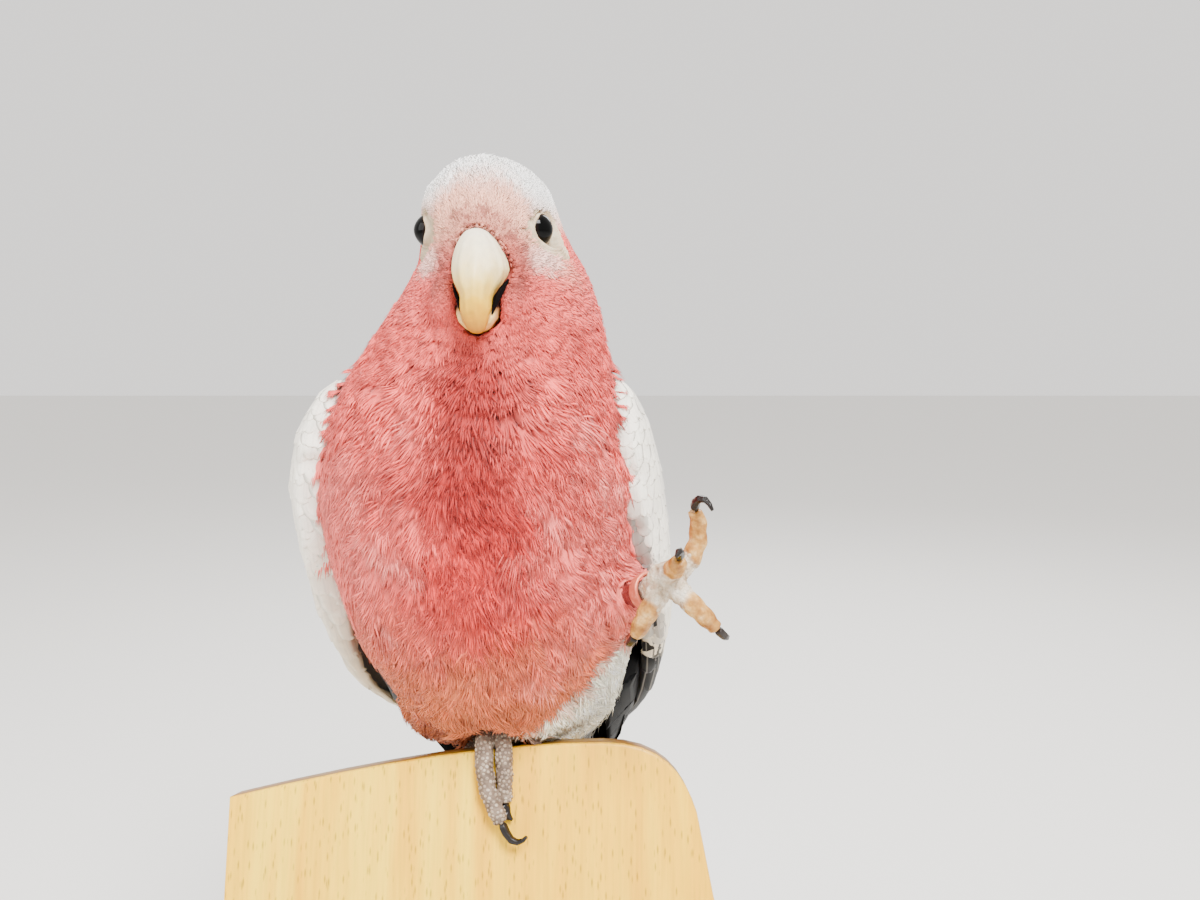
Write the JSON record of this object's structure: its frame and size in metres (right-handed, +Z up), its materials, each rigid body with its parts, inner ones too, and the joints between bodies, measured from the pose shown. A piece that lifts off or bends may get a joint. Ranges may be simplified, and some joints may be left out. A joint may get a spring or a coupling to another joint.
{
  "type": "galah",
  "caption": "Life-size galah cockatoo on a cut length of beech board, gripping its edge with the right foot and holding the left foot forward, on a rod stand with a flat base.",
  "frame": {"origin": "centre of the base's underside, on the floor", "axes": "+Z up; the bird faces -Y, with its left side towards +X and its tail towards +Y"},
  "size_m": [0.184, 0.2088, 0.3414],
  "materials": {
    "plumage_pink": "soft feather",
    "plumage_pale": "soft feather",
    "plumage_grey": "smooth vaned feather",
    "flight_dark": "stiff vaned feather",
    "bill_horn": "satin horn",
    "eye_dark": "wet gloss",
    "foot_scale": "dry scaly skin",
    "foot_sole": "soft padded skin",
    "claw_horn": "polished horn",
    "ring_band": "satin",
    "beech_board": "clear lacquer",
    "base_plate": "dark stain",
    "rod_steel": "brushed"
  },
  "bodies": {
    "root": {"head": "plumage_pale", "neck": "plumage_pink", "trunk": "plumage_pink", "tail": "flight_dark", "bill_upper": "bill_horn", "bill_lower": "bill_horn", "eye_left": "eye_dark", "eye_right": "eye_dark", "wing_left": "plumage_grey", "wing_right": "plumage_grey", "primaries_left": "flight_dark", "primaries_right": "flight_dark", "thigh_left": "plumage_pink", "thigh_right": "plumage_pink", "leg_left": "foot_sole", "leg_right": "foot_scale", "leg_ring": "ring_band", "stand_perch": "beech_board", "stand_base": "base_plate", "stand_rod_1": "rod_steel", "stand_rod_2": "rod_steel", "claw_left_1": "claw_horn", "claw_left_2": "claw_horn", "claw_left_3": "claw_horn", "claw_left_4": "claw_horn", "claw_right_1": "claw_horn", "claw_right_2": "claw_horn", "claw_right_3": "claw_horn", "claw_right_4": "claw_horn"}
  },
  "joints": []
}
